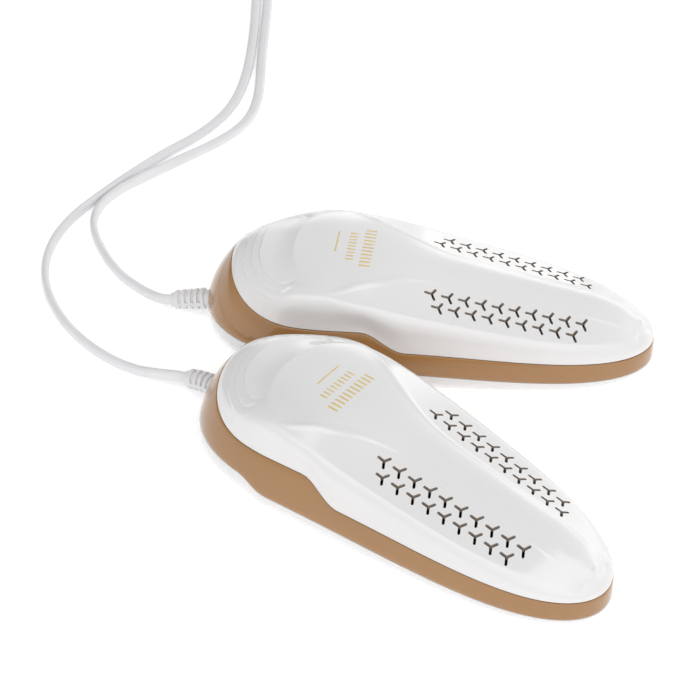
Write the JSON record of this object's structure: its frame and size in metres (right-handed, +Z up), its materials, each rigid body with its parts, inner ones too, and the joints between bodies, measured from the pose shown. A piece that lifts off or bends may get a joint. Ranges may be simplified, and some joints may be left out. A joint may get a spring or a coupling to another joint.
{
  "type": "boot dryer",
  "caption": "Pair of foot-shaped electric boot dryers, pearl white with a brown band and star-shaped air slots, joined by thin flat cords to a mains plug.",
  "frame": {"origin": "middle of the footprint of the two dryers without their cords, on the surface they lie on", "axes": "+Z up; +X from the dryers' heels towards the rear dryer's toe; +Y from the front dryer to the rear dryer, the way the cords run off"},
  "size_m": [0.283, 0.5929, 0.0482],
  "materials": {
    "shell": "pearl white, glossy",
    "band": "caramel brown, glossy",
    "relief": "off-white soft plastic, satin",
    "cord": "light grey PVC, satin",
    "steel": "plain",
    "aluminium": "satin",
    "heater_ceramic": "matt",
    "bracket": "heat-resistant, matt",
    "lead_brown": "satin",
    "lead_blue": "satin",
    "plug": "off-white, satin",
    "pin": "nickel-plated",
    "tie": "black, satin"
  },
  "bodies": {
    "root": {"front_top_shell": "shell", "front_trim_band": "band", "front_bottom_shell": "shell", "front_strain_relief": "relief", "front_case_screw_1": "steel", "front_case_screw_2": "steel", "front_case_screw_3": "steel", "front_case_screw_4": "steel", "front_cable_clamp": "bracket", "front_clamp_screw_1": "steel", "front_clamp_screw_2": "steel", "front_heater_bracket_heel": "bracket", "front_heater_bracket_toe": "bracket", "front_radiator_lower": "aluminium", "front_radiator_upper": "aluminium", "front_heater_core": "heater_ceramic", "front_thermal_cut_out": "steel", "front_live_lead": "lead_brown", "front_neutral_lead": "lead_blue", "front_branch_cord": "cord", "rear_top_shell": "shell", "rear_trim_band": "band", "rear_bottom_shell": "shell", "rear_strain_relief": "relief", "rear_case_screw_1": "steel", "rear_case_screw_2": "steel", "rear_case_screw_3": "steel", "rear_case_screw_4": "steel", "rear_cable_clamp": "bracket", "rear_clamp_screw_1": "steel", "rear_clamp_screw_2": "steel", "rear_heater_bracket_heel": "bracket", "rear_heater_bracket_toe": "bracket", "rear_radiator_lower": "aluminium", "rear_radiator_upper": "aluminium", "rear_heater_core": "heater_ceramic", "rear_thermal_cut_out": "steel", "rear_live_lead": "lead_brown", "rear_neutral_lead": "lead_blue", "rear_branch_cord": "cord", "y_splitter": "relief", "mains_lead": "cord", "cord_coil": "cord", "plug_tail": "cord", "cord_tie": "tie", "plug_body": "plug", "plug_pin_1": "pin", "plug_pin_2": "pin"}
  },
  "joints": []
}
